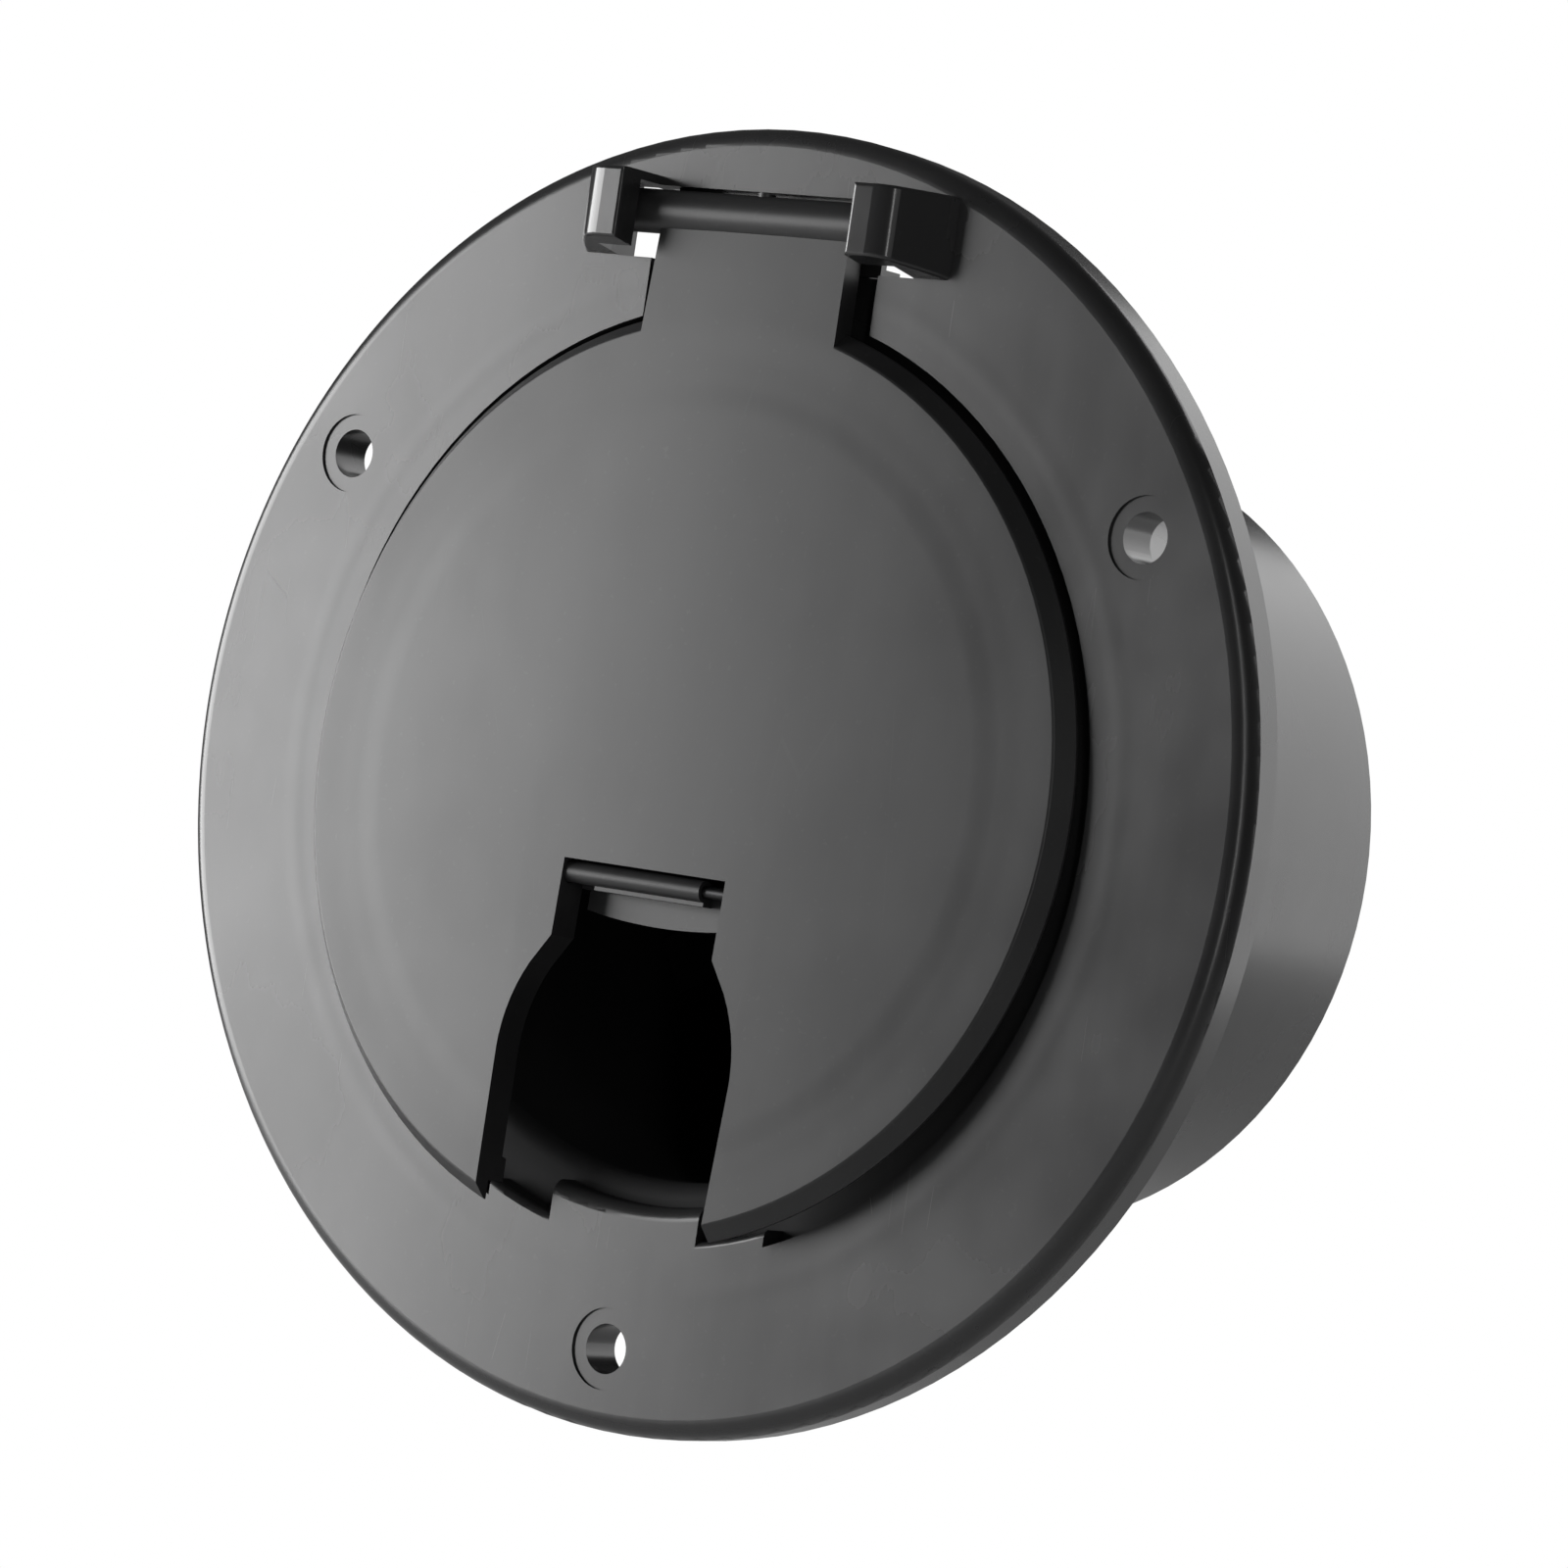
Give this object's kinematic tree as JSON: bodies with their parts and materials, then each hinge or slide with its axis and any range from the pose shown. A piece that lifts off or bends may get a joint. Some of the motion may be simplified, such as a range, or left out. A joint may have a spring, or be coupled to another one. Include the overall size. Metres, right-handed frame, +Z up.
{
  "type": "wall hatch for an electric cord",
  "caption": "Round flanged wall hatch with a closed rear tube, a hinged lid, a cord notch with its own flap, and a rear gland that grips the cord.",
  "frame": {"origin": "centre of the tube in the plane of the flange's back rim, which lies on the wall", "axes": "+Z up towards the lid's hinge, +Y back along the tube into the wall, -Y out towards the user, X across"},
  "size_m": [0.132, 0.0956, 0.132],
  "materials": {
    "moulding": "satin black moulded plastic",
    "lid_moulding": "satin black moulded plastic with fine handling marks",
    "pin": "blackened steel",
    "rubber": "matt black rubber",
    "screws": "plain stainless steel",
    "gland_nylon": "matt black nylon"
  },
  "bodies": {
    "housing": {"housing": "moulding", "cover_gasket": "rubber", "back_cover": "moulding", "cover_screws": "screws", "gland_washer": "rubber", "gland_body": "gland_nylon", "gland_locknut": "gland_nylon", "gland_bush": "rubber", "gland_nut": "gland_nylon"},
    "lid": {"lid": "lid_moulding", "flap_pin": "pin"},
    "cord_flap": {"cord_flap": "lid_moulding"}
  },
  "joints": [
    {"name": "lid_hinge", "type": "hinge", "parent": "housing", "child": "lid", "pos_m": [0, -0.0059, 0.0565], "axis": [-1, 0, 0], "range_deg": [-2.4, 150]},
    {"name": "flap_hinge", "type": "hinge", "parent": "lid", "child": "cord_flap", "pos_m": [0, -0.00858, -0.01095], "axis": [-1, 0, 0], "range_deg": [0, 90]}
  ]
}
